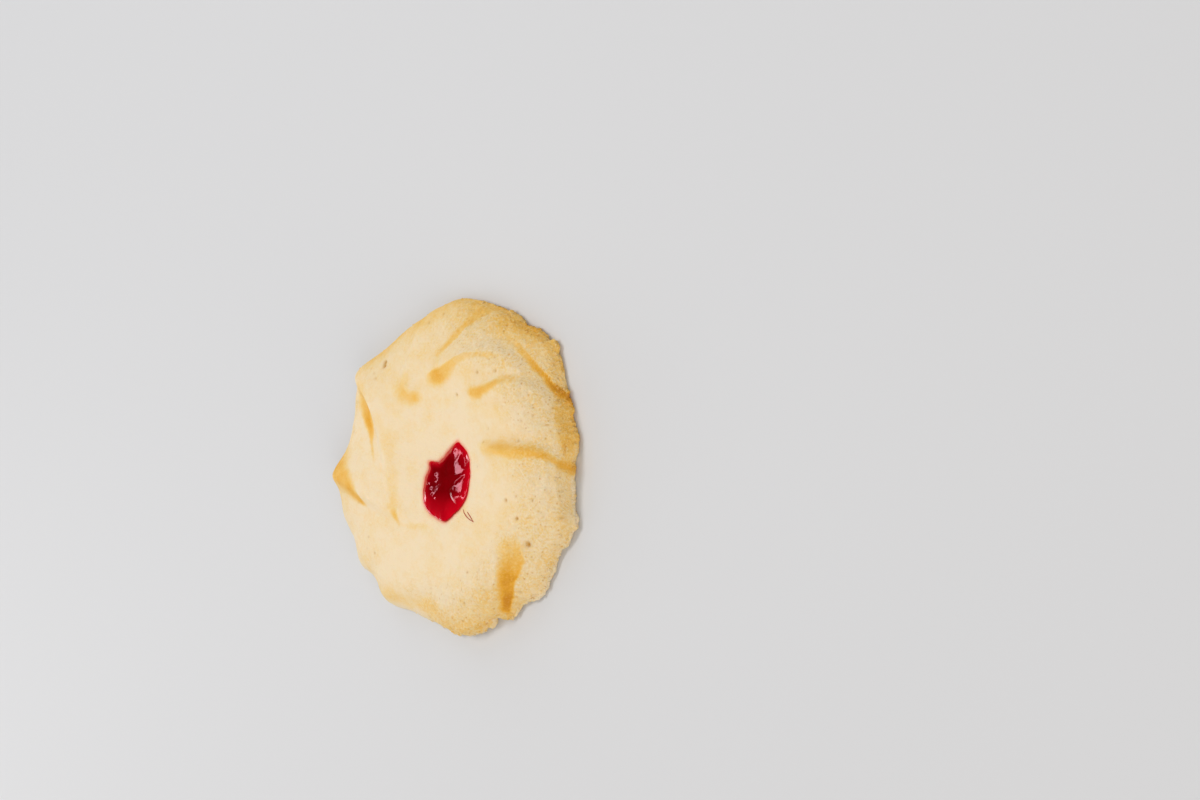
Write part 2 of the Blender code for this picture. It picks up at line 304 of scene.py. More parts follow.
# Stage, in metres: the floor lies just under the part. A lamp has a name, a direction, a distance,
# a size, a power and a colour, and may light the surfaces, be mirrored in them, or both.
FLOOR_HALF = 2.0
FLOOR_DROP = -0.00005
Lamp = namedtuple("Lamp", "name direction distance size power colour lit mirrored",
                  defaults=((1.0, 1.0, 1.0), True, True))
LAMPS = (
    Lamp("key", (-0.36, 0.16, 1.0), 0.8, (0.42, 0.1), 2.1),
    Lamp("fill", (1.0, -0.6, 0.5), 0.9, (0.7, 0.7), 3.4, (1.0, 0.94, 0.86)),
    Lamp("back", (-0.4, 1.0, 0.5), 0.9, (0.7, 0.7), 1.6),
    Lamp("left", (-1.0, -0.5, 0.4), 0.9, (0.7, 0.7), 1.3, mirrored=False),
    Lamp("glint", (-0.925, -0.318, 0.208), 0.9, (0.45, 0.2), 2.3, lit=False),
)
SKY_COLOUR = (0.98, 0.985, 1.0, 1.0)
SKY_STRENGTH = 0.5


def smoothstep(value):
    """Ease from 0 to 1: v squared times (3 minus 2 v)."""
    value = np.clip(value, 0.0, 1.0)
    return value * value * (3.0 - 2.0 * value)


def lobed_radius(angle, base, lobes):
    """Base radius plus height times exp(-(turn / width) squared) for each lobe."""
    radius = np.full_like(angle, base)
    for centre, height, width in lobes:
        turn = (np.degrees(angle) - centre + 180.0) % 360.0 - 180.0
        radius += height * np.exp(-(turn / width) ** 2)
    return radius


def smooth_curve(points):
    """Catmull-Rom curve through the points, with CURVE_STEPS short pieces a span."""
    points = np.array(points)
    first = 2.0 * points[0] - points[1]
    last = 2.0 * points[-1] - points[-2]
    knots = np.vstack([first, points, last])
    step = np.arange(CURVE_STEPS)[:, None] / CURVE_STEPS
    spans = []
    for a, b, c, d in zip(knots, knots[1:], knots[2:], knots[3:]):
        spans.append(0.5 * (2.0 * b + (c - a) * step + (2.0 * a - 5.0 * b + 4.0 * c - d) * step ** 2
                            + (3.0 * b - a - 3.0 * c + d) * step ** 3))
    return np.vstack(spans + [points[-1:]])


def nearest_on_curve(x, y, curve):
    """Number of the curve's nearest span, the share run along it, and the way from there."""
    start, span = curve[:-1], np.diff(curve, axis=0)
    dx = x[..., None] - start[:, 0]
    dy = y[..., None] - start[:, 1]
    length = np.hypot(span[:, 0], span[:, 1])
    share = np.clip((dx * span[:, 0] + dy * span[:, 1]) / length ** 2, 0.0, 1.0)
    dx, dy = dx - share * span[:, 0], dy - share * span[:, 1]
    nearest = np.hypot(dx, dy).argmin(axis=-1)[..., None]
    share, dx, dy = (np.take_along_axis(values, nearest, -1)[..., 0] for values in (share, dx, dy))
    return nearest[..., 0], share, dx, dy


def side_and_reach(x, y, curve):
    """Signed distance to the curve, positive on its right, and the length run along it."""
    nearest, share, dx, dy = nearest_on_curve(x, y, curve)
    span = np.diff(curve, axis=0)
    length = np.hypot(span[:, 0], span[:, 1])
    run = np.concatenate([[0.0], np.cumsum(length)[:-1]])
    side = np.sign(dx * span[nearest, 1] - dy * span[nearest, 0])
    return side * np.hypot(dx, dy), run[nearest] + share * length[nearest]


def side_of_curve(x, y, curve):
    """Signed distance of each point to the curve, positive on its right.

    The side is taken from headings eased between the curve's points, so it holds at corners.
    """
    nearest, share, dx, dy = nearest_on_curve(x, y, curve)
    span = np.diff(curve, axis=0)
    heading = span / np.hypot(span[:, 0], span[:, 1])[:, None]
    heading = np.vstack([2.0 * heading[:1], heading[:-1] + heading[1:], 2.0 * heading[-1:]])
    before, after = heading[nearest], heading[nearest + 1]
    eased = before * (1.0 - share[..., None]) + after * share[..., None]
    return np.sign(dx * eased[..., 1] - dy * eased[..., 0]) * np.hypot(dx, dy)


def lattice(column, row, seed):
    """Repeatable random value from 0 to 1 at whole-number lattice points."""
    value = np.sin(column * 127.1 + row * 311.7 + seed * 74.7) * 43758.5453
    return value - np.floor(value)


def cell_noise(x, y, size, seed):
    """Smooth noise from -1 to 1: random lattice values, cells of the given size, eased between."""
    x, y = x / size, y / size
    column, row = np.floor(x), np.floor(y)
    across, up = smoothstep(x - column), smoothstep(y - row)
    low, high = (lattice(column, line, seed) * (1 - across) + lattice(column + 1, line, seed) * across
                 for line in (row, row + 1))
    return 2.0 * (low * (1 - up) + high * up) - 1.0


def layered_noise(x, y, noise):
    """Strength times a sum of cell noises, each half the size and half the height of the one
    before and turned against it, over the height that three layers reach together."""
    total = np.zeros_like(x)
    for layer in range(noise.layers):
        turn = 0.7 + 1.3 * layer
        turned_x = x * np.cos(turn) - y * np.sin(turn)
        turned_y = x * np.sin(turn) + y * np.cos(turn)
        part = 2 ** layer
        total += cell_noise(turned_x, turned_y, noise.size / part, noise.seed + layer) / part
    return noise.strength * (total / (1.0 + 1.0 / 2.0 + 1.0 / 4.0))


def arc_mask(angle, centre, half_width, fade):
    """1 inside an arc of the rim, easing to 0 over the fade, all in degrees."""
    turn = np.abs((np.degrees(angle) - centre + 180.0) % 360.0 - 180.0)
    return smoothstep((half_width + fade - turn) / fade)


def blade_relief(x, y, blade):
    """A crease at the foot, a steep flank up to the crest, and a long soft back behind it."""
    foot = np.array(blade.foot)
    distance = side_of_curve(x, y, smooth_curve(foot))
    heading = foot[HEADING_POINT] - foot[0]
    heading /= np.hypot(*heading)
    along = (x - foot[0, 0]) * heading[0] + (y - foot[0, 1]) * heading[1]
    tail, rim = blade.flank
    width = tail + (rim - tail) * smoothstep(along / FLANK_TAPER)
    flank = smoothstep(distance / width)
    back = np.exp(-(np.maximum(distance - width, 0.0) / blade.back) ** 2)
    crease = CREASE_DEPTH * np.exp(-(distance / CREASE_WIDTH) ** 2)
    rise = blade.rise + TAIL_FAN * np.maximum(distance, 0.0)
    return (blade.height * flank * back - crease) * smoothstep(along / rise)


def streak_gold(x, y, streak):
    """Browning from 0 to 1: the strength on the line, easing out between two shares of its half
    width, in less room on the crisp side.

    The edge wanders by layered noise; half width and strength run evenly between the points.
    """
    line = np.array(streak.line)
    curve = smooth_curve(line[:, :2])
    distance, reach = side_and_reach(x, y, curve)
    run = np.concatenate([[0.0], np.cumsum(np.hypot(*np.diff(curve, axis=0).T))])[::CURVE_STEPS]
    half_width = np.interp(reach, run, line[:, 2])
    strength = np.interp(reach, run, line[:, 3])
    distance = distance + layered_noise(x, y, STREAK_WANDER)
    crisp = distance * streak.crisp > 0.0
    start, end = (np.where(crisp, *shares) for shares in zip(CRISP_FADE, SOFT_FADE))
    share = np.abs(distance) / half_width
    return strength * (1.0 - smoothstep((share - start) / (end - start)))


def rim_radius(angle):
    """Lobed radius of the widest part of the rim."""
    return lobed_radius(angle, RIM_RADIUS, RIM_LOBES)


def jam_outline(angle, inset=0.0):
    """Slightly wavering jam outline in plan, by angle round its centre, drawn in by the inset."""
    wobble = layered_noise(JAM_CIRCLE * np.cos(angle), JAM_CIRCLE * np.sin(angle), JAM_WOBBLE)
    radius = lobed_radius(angle, JAM_RADIUS, JAM_LOBES) + wobble - inset
    return JAM_CENTRE[0] + radius * np.cos(angle), JAM_CENTRE[1] + radius * np.sin(angle)


def dome_height(share, x, y):
    """Crown over the rim, RIM + CROWN (1 - share^p)^q, less a Gaussian dish round the jam."""
    dome = RIM_HEIGHT + CROWN_HEIGHT * (1.0 - share ** SHOULDER) ** SHOULDER_FALL
    from_dish = np.hypot(x - DISH_CENTRE[0], y - DISH_CENTRE[1])
    return dome - DISH_DEPTH * np.exp(-(from_dish / DISH_RADIUS) ** 2)


def smooth_top(x, y):
    """Height of the solid's own top: dome less dish plus blades, flatter towards the rim."""
    share = np.clip(np.hypot(x, y) / rim_radius(np.arctan2(y, x)), 0.0, 1.0)
    relief = sum(blade_relief(x, y, blade) for blade in BLADES)
    return dome_height(share, x, y) + relief * (1.0 - RIM_FLATTENING * share ** RIM_FLATTENING_POWER)


JAM_MIDDLE = float(smooth_top(*np.array([[JAM_CENTRE[0]], [JAM_CENTRE[1]]]))[0])
WELL_FLOOR = JAM_MIDDLE - WELL_DEPTH


def pore_list():
    """Named pores and finer seeded ones, thickest towards the right and the rim."""
    draw = np.random.default_rng(PORE_SEED)
    count = FINE_PORES * 5
    radius = RIM_CIRCLE * np.sqrt(draw.random(count))
    angle = 2.0 * np.pi * draw.random(count)
    x, y = radius * np.cos(angle), radius * np.sin(angle)
    near_rim = smoothstep((radius - 18.0) / 14.0)
    liking = 0.03 + 0.5 * near_rim * (0.5 + 0.5 * arc_mask(angle, *PORE_ARC))
    kept = (draw.random(count) < liking) & (radius > FINE_PORES_FROM)
    size = FINE_PORE_SIZE + FINE_PORE_SPREAD * draw.random(count) ** 2
    fine = np.stack([x, y, size], axis=-1)[kept][:FINE_PORES]
    return np.vstack([np.array(PORES), fine])


def pore_field(x, y):
    """How deep each point lies in a pore, 0 to 1: exp(-(distance / radius) squared), summed."""
    depth = np.zeros_like(x)
    for pore_x, pore_y, radius in pore_list():
        near = ((x - pore_x) ** 2 + (y - pore_y) ** 2) / radius ** 2
        depth += np.exp(-near) * min(1.0, (radius / FULL_PORE_RADIUS) ** 2)
    return np.clip(depth, 0.0, 1.0)


def add_values(mesh, label, values):
    """Give each point of the mesh its own value, under a name that the materials read."""
    layer = mesh.attributes.new(label, "FLOAT", "POINT")
    layer.data.foreach_set("value", values.astype(np.float32))


def build_mesh(name, grid, start, end, attributes=None):
    """Closed surface from a grid of rings, with a pole at each end and named point values."""
    rings, steps, _ = grid.shape
    vertices = np.vstack([grid.reshape(-1, 3), [start], [end]])
    here = np.arange(steps)
    there = np.roll(here, -1)
    rows = np.arange(rings - 1)[:, None] * steps
    quads = np.stack([rows + here, rows + steps + here, rows + steps + there, rows + there], -1)
    first, last = rings * steps, rings * steps + 1
    tail = (rings - 1) * steps
    fans = np.vstack([np.stack([np.full(steps, first), here, there], -1),
                      np.stack([np.full(steps, last), tail + there, tail + here], -1)])
    mesh = bpy.data.meshes.new(name)
    mesh.from_pydata((vertices * MM).tolist(), [], quads.reshape(-1, 4).tolist() + fans.tolist())
    for label, (values, at_start, at_end) in (attributes or {}).items():
        add_values(mesh, label, np.concatenate([values.ravel(), [at_start, at_end]]))
    mesh.shade_smooth()
    return mesh


def add_piece(name, mesh, material):
    """Object at the origin that rides on the root body."""
    piece = bpy.data.objects.new(name, mesh)
    bpy.context.scene.collection.objects.link(piece)
    mesh.materials.append(material)
    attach(piece, "root")
    return piece


def whirl_shift():
    """Move from the whirl's axis to the frame's origin, the middle of the outline's box."""
    angle = np.linspace(0.0, 2.0 * np.pi, OUTLINE_STEPS, endpoint=False)
    outline = rim_radius(angle)[:, None] * np.stack([np.cos(angle), np.sin(angle)], axis=-1)
    middle = (outline.max(axis=0) + outline.min(axis=0)) / 2.0
    return np.array([-middle[0], -middle[1], 0.0])


SHIFT = whirl_shift()


def ragged(angle):
    """How far the crumbling rim stands out, in millimetres, by angle round the axis.

    Wide and fine bites, stronger inside the ragged arc and fine only in patches, with two
    notches and a burr on top.
    """
    x, y = RIM_CIRCLE * np.cos(angle), RIM_CIRCLE * np.sin(angle)
    coarse = 0.15 + 0.85 * arc_mask(angle, *RAGGED_ARC)
    patch = 0.12 + 0.88 * smoothstep(0.4 + layered_noise(x, y, RIM_PATCHES))
    bites = layered_noise(x, y, WIDE_BITES) + patch * layered_noise(x, y, FINE_BITES)
    nicks = sum(out * arc_mask(angle, *arc) for *arc, out in RIM_NICKS)
    return coarse * (bites + 0.08) + nicks


def undulation(x, y):
    """Slight unevenness of the baked face, in millimetres: a slow and a small swell."""
    return layered_noise(x, y, SLOW_SWELL) + layered_noise(x, y, SMALL_SWELL)


def rim_bake(x, y, out):
    """Browning towards the rim: each arc's amount, eased in from its start to the rim's edge."""
    around = np.arctan2(y, x)
    reach = out + layered_noise(x, y, BAKE_WANDER)
    bake = (RIM_TONE + layered_noise(x, y, BAKE_PATCHES)) * smoothstep((reach - 0.74) / 0.26)
    for centre, half_width, fade, start, amount in RIM_TONES:
        browned = smoothstep((reach - start) / (1.0 - start))
        bake += amount * arc_mask(around, centre, half_width, fade) * browned
    return bake


def face_rings(angle):
    """Places of the face's rings, and the share of the way from the jam to the rim of each.

    Each point lies on a straight line from the jam's outline to the rim at the same angle. The
    rim is ragged only in its last few shares.
    """
    share = (np.linspace(0.0, 1.0, TOP_RINGS) ** RING_CROWDING)[:, None]
    jam_x, jam_y = jam_outline(angle)
    near_rim = smoothstep((share - RAGGED_FROM) / (1.0 - RAGGED_FROM))
    reach = rim_radius(angle) + ragged(angle) * near_rim
    x = jam_x + (reach * np.cos(angle) - jam_x) * share
    y = jam_y + (reach * np.sin(angle) - jam_y) * share
    return x, y, share


def face_grit(around, out, gold):
    """Grit of the crumb, 0 to 1: eased in towards the rim, most in its arc, least where golden."""
    towards_rim = smoothstep((out - 0.55) / 0.35)
    in_arc = 0.2 + 0.8 * arc_mask(around, *GRITTY_ARC)
    return towards_rim * in_arc * (1.0 - 0.85 * np.minimum(1.3 * gold, 1.0))


def face_height(x, y, share, grit, pores):
    """The solid's top with swell, grit and pores, cut down at the broken rim, rounded at the well.

    The crumb rounds over by the rounding times exp(-(share / its width) squared).
    """
    z = smooth_top(x, y) + undulation(x, y)
    z += grit * (layered_noise(x, y, COARSE_GRIT) + layered_noise(x, y, FINE_GRIT))
    z -= PORE_DEPTH * pores
    at_rim = smoothstep((share - BROKEN_FROM) / (1.0 - BROKEN_FROM))
    z -= BROKEN_LOSS * np.maximum(z - RIM_HEIGHT, 0.0) * at_rim
    z = np.maximum(z, LEAST_HEIGHT)
    return z - WELL_ROUNDING * np.exp(-(share / WELL_ROUNDING_SHARE) ** 2)


def face_bake(x, y, around, out, gold):
    """Browning of the face: its golden streaks, then the rim over what they leave pale, and a
    slight warmth away from the middle that is stronger in its arc."""
    bake = gold * (0.95 + layered_noise(x, y, STREAK_PATCHES))
    bake = bake + rim_bake(x, y, out) * (1.0 - bake)
    away = smoothstep((np.hypot(x, y) - 8.0) / 14.0)
    return bake + away * (0.02 + 0.07 * arc_mask(around, *WARM_ARC))


def side_rings(angle, rim_z, rim_tone):
    """Crumbled side of the rim, one ring for each step of its rounding, and its browning."""
    edge = rim_radius(angle) + ragged(angle)
    x, y = edge * np.cos(angle), edge * np.sin(angle)
    coarse = 0.1 + 0.9 * arc_mask(angle, *CRUMBLED_ARC)
    rings = []
    for level, inset in EDGE_ROUNDING:
        shifted = x + 3.1 * level, y + 2.3 * level
        crumbling = coarse * layered_noise(*shifted, EDGE_CRUMBLING)
        scale = 1.0 - (inset + crumbling) / edge
        rings.append(np.stack([x * scale, y * scale, rim_z * level], axis=-1))
    bake = rim_tone + 0.03 - 0.2 * arc_mask(angle, *PALE_ARC)
    bake = np.maximum(bake + coarse * layered_noise(x, y, EDGE_PATCHES), 0.0)
    return np.array(rings), bake


def base_rings(foot):
    """Underside drawn in from the rim's foot, with shallow pits, and its even golden browning."""
    inward = np.linspace(1.0, 0.0, BASE_RINGS, endpoint=False)[1:, None]
    x, y = foot[:, 0] * inward, foot[:, 1] * inward
    pits = np.maximum(layered_noise(x, y, BASE_PITS), 0.0)
    bake = 0.5 + layered_noise(x, y, BASE_PATCHES) + 0.16 * smoothstep((inward - 0.6) / 0.4)
    return np.stack([x, y, pits], axis=-1), bake


def biscuit_mesh():
    """The biscuit from the well's floor over the top and rim to the middle of its underside.

    Its point values are the browning, the grit, the depth in a pore, and the jam's stain, which
    fades from the well as exp(-(distance / width) squared).
    """
    angle = np.linspace(0.0, 2.0 * np.pi, STEPS, endpoint=False)
    x, y, share = face_rings(angle)
    around = np.arctan2(y, x)
    out = np.clip(np.hypot(x, y) / rim_radius(around), 0.0, 1.0)
    gold = np.max([streak_gold(x, y, streak) for streak in STREAKS], axis=0)
    pores = pore_field(x, y)
    grit = face_grit(around, out, gold)
    z = face_height(x, y, share, grit, pores)
    bake = face_bake(x, y, around, out, gold)
    stain = np.exp(-(np.hypot(x - x[0], y - y[0]) / STAIN_WIDTH) ** 2)

    inner_x, inner_y = jam_outline(angle, WELL_DRAFT)
    wall = np.stack([inner_x, inner_y, np.full(STEPS, WELL_FLOOR)], axis=-1)[None]
    side, side_bake = side_rings(angle, z[-1], bake[-1])
    base, base_bake = base_rings(side[-1])
    grid = np.concatenate([wall, np.stack([x, y, z], axis=-1), side, base]) + SHIFT

    on_wall, on_side, on_base = (np.ones((rows, STEPS)) for rows in (1, len(side), len(base)))
    bake = np.concatenate([on_wall * 0.1, bake, on_side * side_bake, base_bake])
    stain = np.concatenate([on_wall, stain, on_side * 0.0, on_base * 0.0])
    grit = np.concatenate([on_wall * 0.0, grit, on_side * grit[-1], on_base * 0.6])
    pores = np.concatenate([on_wall * 0.0, pores, on_side * 0.0, on_base * 0.0])
    centre = np.array([*JAM_CENTRE, WELL_FLOOR]) + SHIFT
    attributes = {
        "bake": (bake, 0.1, 0.5), "stain": (stain, 1.0, 0.0),
        "grit": (grit, 0.0, 0.6), "pore": (pores, 0.0, 0.0),
    }
    return build_mesh("biscuit_crumb", grid, centre, SHIFT, attributes)


def twelve_point_ball():
    """Points and outward faces of a regular ball of twenty triangles, of radius 1."""
    golden = (1.0 + np.sqrt(5.0)) / 2.0
    ball = [np.roll(np.array([0.0, a, b * golden]), turn) for turn in range(3)
            for a in (-1.0, 1.0) for b in (-1.0, 1.0)]
    ball = np.array(ball) / np.hypot(1.0, golden)
    reach = np.linalg.norm(ball[:, None] - ball[None], axis=-1)
    near = (reach > 0.1) & (reach < 1.2)
    faces = [(a, b, c) for a in range(12) for b in range(a + 1, 12) for c in range(b + 1, 12)
             if near[a, b] and near[b, c] and near[a, c]]
    faces = [face if np.linalg.det(ball[list(face)]) > 0.0 else face[::-1] for face in faces]
    return ball, faces


def crumb_tone(x, y, share):
    """Browning of a loose crumb: that of the rim or the streak that it lies on."""
    gold = max(streak_gold(x, y, streak)[0] for streak in STREAKS)
    return max(rim_bake(x, y, np.array([share]))[0], gold)


def crumbs_mesh():
    """Small crumbs stuck along the rim, most of them on the right: jittered twelve-point balls.

    A crumb lies on the face near the rim, or sticks to the side at a height drawn for it.
    """
    draw = np.random.default_rng(CRUMB_SEED)
    ball, faces = twelve_point_ball()
    vertices, triangles, tones = [], [], []
    while len(vertices) < CRUMBS:
        angle = np.radians(draw.uniform(-180.0, 180.0))
        here = np.array([angle])
        in_arc = arc_mask(here, *CRUMB_ARC)[0]
        if draw.random() > CRUMBS_ELSEWHERE + (1.0 - CRUMBS_ELSEWHERE) * in_arc:
            continue
        size = draw.uniform(*CRUMB_SIZES)
        edge = (rim_radius(here) + ragged(here))[0] - CRUMB_INSET * size
        share = 1.0 - CRUMB_BAND * draw.random() ** 2
        x, y = edge * share * np.cos(angle), edge * share * np.sin(angle)
        point = np.array([x]), np.array([y])
        height = float(smooth_top(*point)[0]) - CRUMB_SINK * size
        if share > 0.99:
            height = draw.uniform(*CRUMB_SIDE_HEIGHTS)
        shape = ball * size * draw.uniform(0.6, 1.2, (12, 1)) * draw.uniform(0.7, 1.2, (1, 3))
        triangles += [[len(vertices) * 12 + corner for corner in face] for face in faces]
        vertices.append(shape + np.array([x, y, height]) + SHIFT)
        tones.append(np.full(12, crumb_tone(*point, share) + draw.uniform(0.0, 0.1)))
    mesh = bpy.data.meshes.new("rim_crumbs")
    mesh.from_pydata((np.vstack(vertices) * MM).tolist(), [], triangles)
    add_values(mesh, "bake", np.concatenate(tones))
    add_values(mesh, "grit", np.ones(12 * CRUMBS))
    return mesh


def ramp(run, ease):
    """Level up to 0, then climbing one for one, eased in as ease times (s cubed less half s^4)."""
    share = np.clip(run / ease, 0.0, 1.0)
    return ease * (share ** 3 - share ** 4 / 2.0) + np.maximum(run - ease, 0.0)


def jam_dome(x, y, share):
    """Rise of the jam's face over the crumb's: swell, shoulder, fold and lumps, less a middle dip.

    The swell is the square root of 1 less the share to its power. The shoulder falls away to the
    right in two slopes, each a ramp: the first from a slanting line that steps to the right
    below y = -5, the second from a line further right that steps on below y = 0.3. The fold is
    a bell-shaped ridge along its line, and each lump is a bell of its own radius and height.
    Wrinkles are noise, strongest on the left.
    """
    rise = JAM_SWELL * np.sqrt(np.clip(1.0 - share ** JAM_SWELL_POWER, 0.0, 1.0))
    inside = smoothstep((1.0 - share) / 0.3)
    run = x - 5.2 + 0.22 * y - 2.0 * smoothstep((-5.0 - y) / 2.0)
    steeper = run - 1.4 - 1.7 * smoothstep((0.3 - y) / 2.0)
    rise = rise + (JAM_SHOULDER - 0.25 * ramp(run, 0.6) - 0.3 * ramp(steeper, 0.8)) * inside
    rise -= JAM_LEAN * (y + 3.0)
    depth, dip_x, dip_y, wide, tall = JAM_DIP
    rise -= depth * np.exp(-((x - dip_x) / wide) ** 2 - ((y - dip_y) / tall) ** 2) * inside
    across, _ = side_and_reach(x, y, smooth_curve(JAM_FOLD))
    fold = 0.12 + 0.12 * smoothstep((-3.8 - y) / 1.5)
    rise += fold * np.exp(-(across / JAM_FOLD_WIDTH) ** 2) * smoothstep((1.0 - share) / 0.12)
    for lump_x, lump_y, radius, height in JAM_LUMPS:
        rise += height * np.exp(-((x - lump_x) ** 2 + (y - lump_y) ** 2) / radius ** 2)
    wrinkle = layered_noise(x, y, JAM_WRINKLES) + layered_noise(x, y, JAM_RIPPLES)
    on_left = 0.3 + 0.7 * smoothstep((2.0 - x) / 3.0)
    return rise + wrinkle * on_left * smoothstep((1.0 - share) / 0.15)


def jam_mesh():
    """Jam filling the well: its face over the crumb's height at the edge, its wall and floor.

    Its point value is its depth, 0 at the thin edge and 1 in the middle, less towards -Y.
    """
    angle = np.linspace(0.0, 2.0 * np.pi, JAM_STEPS, endpoint=False)
    edge_x, edge_y = jam_outline(angle, -JAM_LIP)
    edge_z = smooth_top(edge_x, edge_y) + undulation(edge_x, edge_y)
    share = np.linspace(0.0, 1.0, JAM_RINGS + 1)[1:, None]
    x = JAM_CENTRE[0] + (edge_x - JAM_CENTRE[0]) * share
    y = JAM_CENTRE[1] + (edge_y - JAM_CENTRE[1]) * share
    ground = edge_z * share + JAM_MIDDLE * (1.0 - share)
    top = np.stack([x, y, ground + jam_dome(x, y, share)], axis=-1)
    wall_x, wall_y = jam_outline(angle, WELL_DRAFT - JAM_LIP)
    floor = WELL_FLOOR - JAM_OVERLAP
    wall = np.stack([wall_x, wall_y, np.full(JAM_STEPS, floor)], axis=-1)[None]
    depth = smoothstep((1.0 - share) * 2.1) * (1.0 - 0.4 * smoothstep((-5.0 - y) / 3.0))
    depth = np.concatenate([depth, np.zeros((1, JAM_STEPS))])
    crown = JAM_MIDDLE + float(jam_dome(*np.array([[JAM_CENTRE[0]], [JAM_CENTRE[1]], [0.0]]))[0])
    centre = np.array([*JAM_CENTRE, crown]) + SHIFT
    bottom = np.array([*JAM_CENTRE, floor]) + SHIFT
    grid = np.concatenate([top, wall]) + SHIFT
    return build_mesh("jam_gel", grid, centre, bottom, {"depth": (depth, 1.0, 1.0)})


def tube_mesh(name, path, radius):
    """Thin tube carried along a path of points, tapering to its two closed ends."""
    along = np.gradient(path, axis=0)
    along /= np.linalg.norm(along, axis=1)[:, None]
    across = np.cross(along, [0.0, 0.0, 1.0])
    across /= np.linalg.norm(across, axis=1)[:, None]
    lift = np.cross(across, along)
    turn = np.linspace(0.0, 2.0 * np.pi, STRAND_SIDES, endpoint=False)[None, :, None]
    taper = radius * np.sin(np.linspace(STRAND_TAPER, np.pi - STRAND_TAPER, len(path))) ** 0.5
    ring = across[:, None] * np.cos(turn) + lift[:, None] * np.sin(turn)
    grid = path[:, None] + ring * taper[:, None, None]
    start, end = path[0] - along[0] * radius, path[-1] + along[-1] * radius
    return build_mesh(name, grid + SHIFT, start + SHIFT, end + SHIFT)


def strand_mesh(number, line):
    """A hair of dried jam lying on the crumb along its line."""
    curve = smooth_curve(line)
    height = smooth_top(curve[:, 0], curve[:, 1]) + undulation(curve[:, 0], curve[:, 1])
    path = np.column_stack([curve, height + 0.5 * STRAND_RADIUS])
    return tube_mesh(f"jam_strand_{number}", path, STRAND_RADIUS)


def add_node(tree, kind, values=None, **settings):
    """Shader node with its settings and the defaults of its named inputs."""
    node = tree.nodes.new(kind)
    for name, value in settings.items():
        setattr(node, name, value)
    for name, value in (values or {}).items():
        node.inputs[name].default_value = value
    return node


def new_material(name):
    """New node material; returns it with its tree and its Principled shader."""
    material = bpy.data.materials.new(name)
    material.use_nodes = True
    tree = material.node_tree
    return material, tree, tree.nodes["Principled BSDF"]


def srgb(red, green, blue):
    """Linear colour from sRGB bytes."""
    value = np.array([red, green, blue]) / 255.0
    linear = np.where(value <= 0.04045, value / 12.92, ((value + 0.055) / 1.055) ** 2.4)
    return (*linear.tolist(), 1.0)


def math_node(tree, operation, *values):
    """Output of a math node fed by sockets or plain numbers."""
    node = add_node(tree, "ShaderNodeMath", operation=operation)
    for socket, value in zip(node.inputs, values):
        if isinstance(value, bpy.types.NodeSocket):
            tree.links.new(value, socket)
        else:
            socket.default_value = value
    return node.outputs[0]


def noise_texture(tree, scale, detail, roughness=0.5):
    """Values of a noise texture that stays with the piece."""
    texture = add_node(tree, "ShaderNodeTexNoise",
                       {"Scale": scale, "Detail": detail, "Roughness": roughness})
    place = add_node(tree, "ShaderNodeTexCoord").outputs["Object"]
    tree.links.new(place, texture.inputs["Vector"])
    return texture.outputs["Fac"]


def bump_normal(tree, height, strength, distance):
    """Normal bent by a height, over a distance in metres."""
    bump = add_node(tree, "ShaderNodeBump", {"Strength": strength, "Distance": distance})
    tree.links.new(height, bump.inputs["Height"])
    return bump.outputs["Normal"]


def map_range(tree, value, source, target):
    """Value carried from its source range to the target range, held at the ends."""
    node = add_node(tree, "ShaderNodeMapRange", {"From Min": source[0], "From Max": source[1],
                                                 "To Min": target[0], "To Max": target[1]})
    tree.links.new(value, node.inputs["Value"])
    return node.outputs["Result"]


